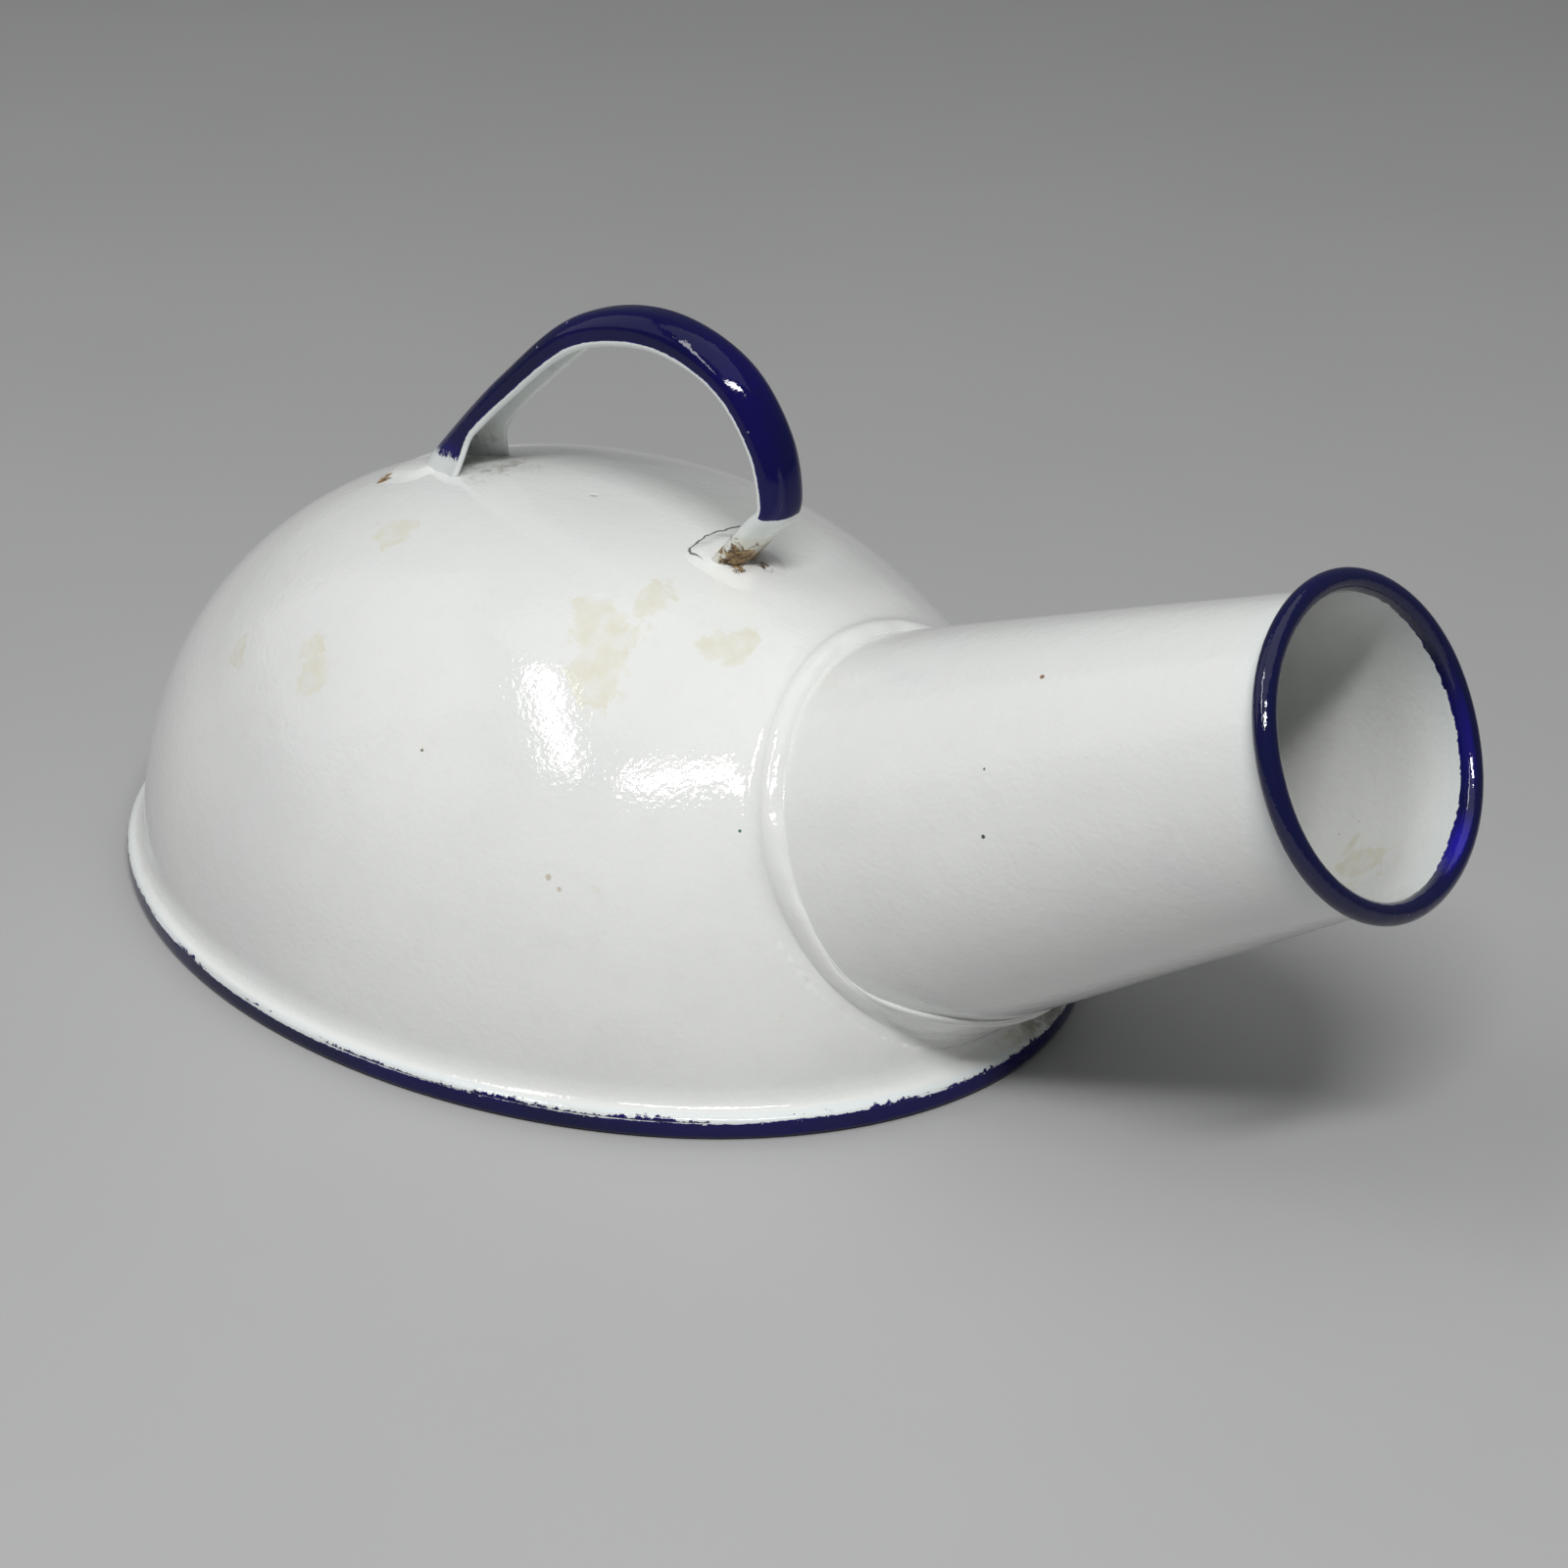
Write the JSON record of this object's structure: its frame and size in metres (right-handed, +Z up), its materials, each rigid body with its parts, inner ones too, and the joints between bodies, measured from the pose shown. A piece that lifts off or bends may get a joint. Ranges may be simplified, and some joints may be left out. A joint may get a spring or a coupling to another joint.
{
  "type": "enamel hand urinal",
  "caption": "Oval domed enamelled-steel vessel on a flat base, with a wide tapered neck rising from one end, rolled blue mouth rim and a blue strap handle on top.",
  "frame": {"origin": "middle of the oval base, on the floor", "axes": "+Z up, +X from the middle of the base towards the mouth; the XZ plane is the plane of symmetry"},
  "size_m": [0.2732, 0.1554, 0.1183],
  "materials": {
    "white_enamel": "glossy vitreous enamel on steel",
    "blue_enamel": "glossy cobalt-blue vitreous enamel on steel",
    "bare_steel": "plain drawn wire"
  },
  "bodies": {
    "root": {"body_shell": "white_enamel", "base_pan": "blue_enamel", "neck_tube": "white_enamel", "mouth_wire": "bare_steel", "neck_weld": "white_enamel", "handle_strap": "blue_enamel", "rear_foot_weld": "white_enamel", "front_foot_weld": "white_enamel"}
  },
  "joints": []
}
